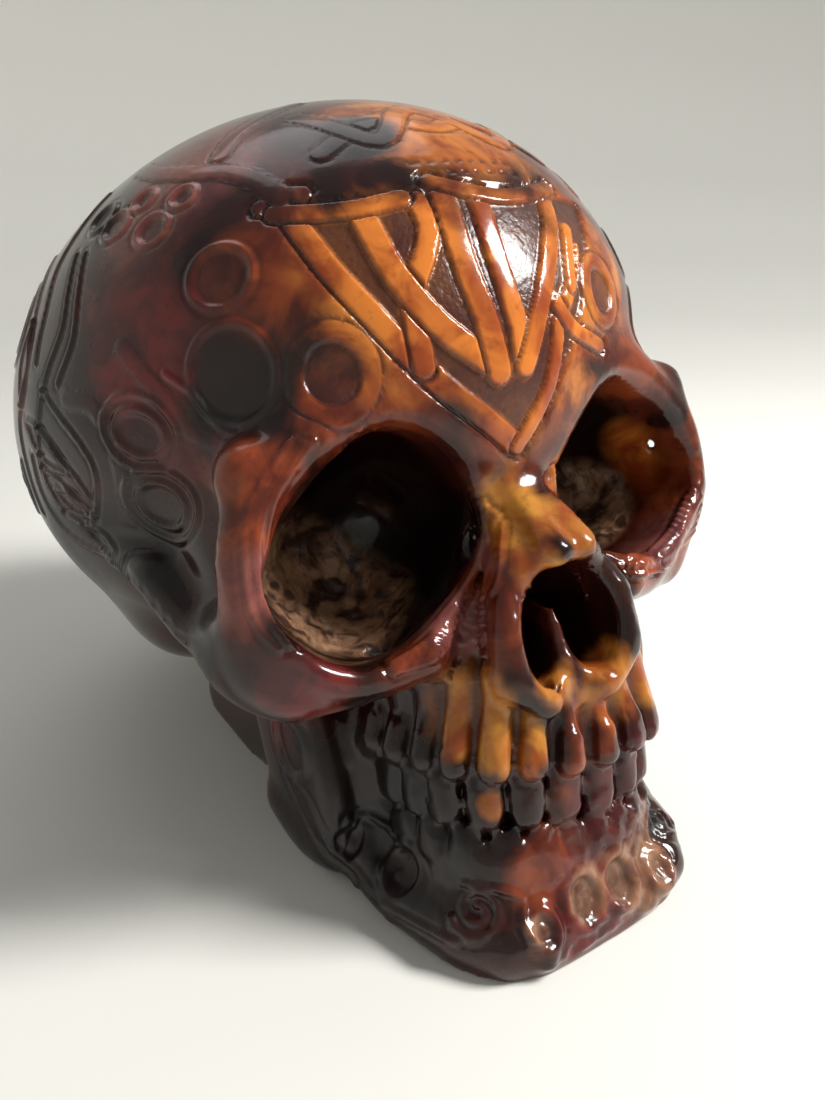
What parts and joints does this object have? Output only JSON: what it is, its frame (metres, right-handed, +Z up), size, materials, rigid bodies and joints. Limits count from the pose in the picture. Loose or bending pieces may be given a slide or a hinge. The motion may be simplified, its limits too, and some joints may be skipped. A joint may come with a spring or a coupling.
{
  "type": "carved ornamental skull",
  "caption": "Life-size ornamental human skull with its jaw, a glossy dyed casting with carved bands, rings and scrolls, resting on its jaw and neck.",
  "frame": {"origin": "on the table under the middle of the skull, at the centre of its plan and the level of its flat base", "axes": "+Z up, -Y to the face, +X to the skull's own left"},
  "size_m": [0.1602, 0.2158, 0.168],
  "materials": {
    "dyed_resin": "glossy amber, red and smoky black dyed resin"
  },
  "bodies": {
    "root": {"cranium": "dyed_resin", "cheekbone_right": "dyed_resin", "cheekbone_left": "dyed_resin", "upper_jaw": "dyed_resin", "lower_jaw": "dyed_resin"}
  },
  "joints": []
}
